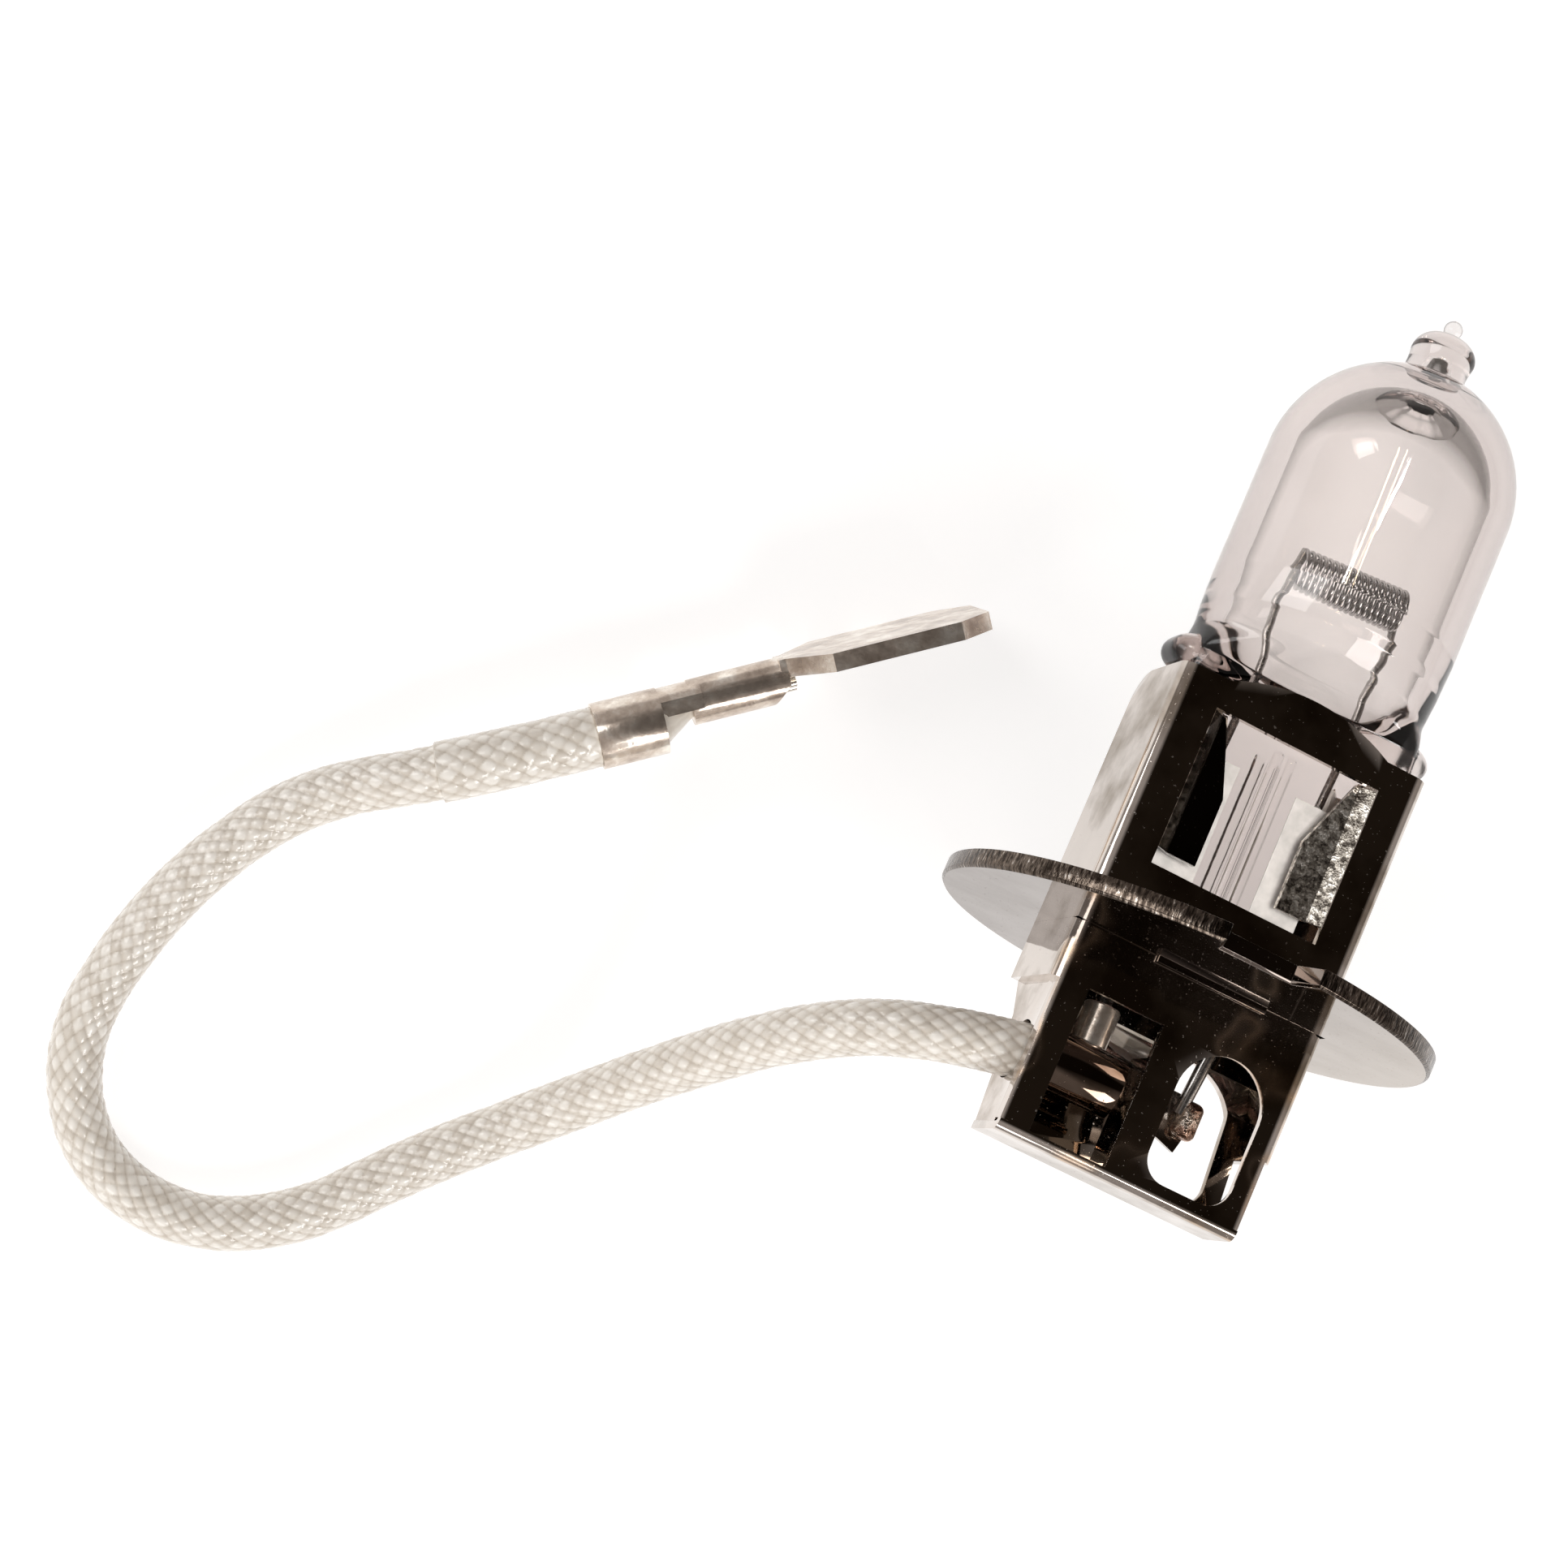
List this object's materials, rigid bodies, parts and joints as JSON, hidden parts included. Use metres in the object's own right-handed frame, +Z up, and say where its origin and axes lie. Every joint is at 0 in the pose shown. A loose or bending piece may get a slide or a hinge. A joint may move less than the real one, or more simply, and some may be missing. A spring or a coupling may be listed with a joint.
{
  "type": "halogen headlight bulb",
  "caption": "Halogen headlight bulb with round seating flange, folded metal body, clear quartz capsule and a braided lead ending in a flat blade terminal.",
  "frame": {"origin": "on the surface that the bulb lies on, under the middle of the bulb without its cord and terminal", "axes": "+Y along the bulb from its metal base towards the glass tip, +Z up, out of the body's front plate; the bulb rests on its flange's rim and its dome"},
  "size_m": [0.0519, 0.0611, 0.0215],
  "materials": {
    "nickel_flange": "bright nickel plate over pressed steel",
    "nickel_front": "bright nickel plate over pressed steel",
    "nickel_rear": "bright nickel plate over pressed steel",
    "quartz": "clear, polished",
    "tungsten": "grey tungsten wire",
    "lead_wire": "drawn wire",
    "molybdenum": "satin foil",
    "outer_wire": "drawn wire",
    "nickel_tab": "satin nickel",
    "weld_bead": "brown, heat-tinted",
    "tinned_ferrule": "bright tin plate",
    "clamp_band": "bright nickel plate",
    "bare_core": "tinned copper",
    "glass_braid": "white glass-fibre braid",
    "tinned_terminal": "bright tin plate over brass",
    "sleeving": "white glass-fibre sleeve"
  },
  "bodies": {
    "root": {"flange_disc": "nickel_flange", "front_shell": "nickel_front", "rear_shell": "nickel_rear", "glass_envelope": "quartz", "filament_coil": "tungsten", "inner_lead_left": "lead_wire", "inner_lead_right": "lead_wire", "foil_left": "molybdenum", "foil_right": "molybdenum", "outer_lead_live": "outer_wire", "outer_lead_earth": "outer_wire", "earth_tab": "nickel_tab", "earth_weld": "weld_bead", "splice_ferrule": "tinned_ferrule", "cable_clamp": "clamp_band", "cable_conductor": "bare_core", "braided_cable": "glass_braid", "end_sleeve": "glass_braid", "braid_end": "glass_braid", "conductor_strands": "bare_core", "blade_terminal": "tinned_terminal", "lead_sleeve": "sleeving"}
  },
  "joints": []
}
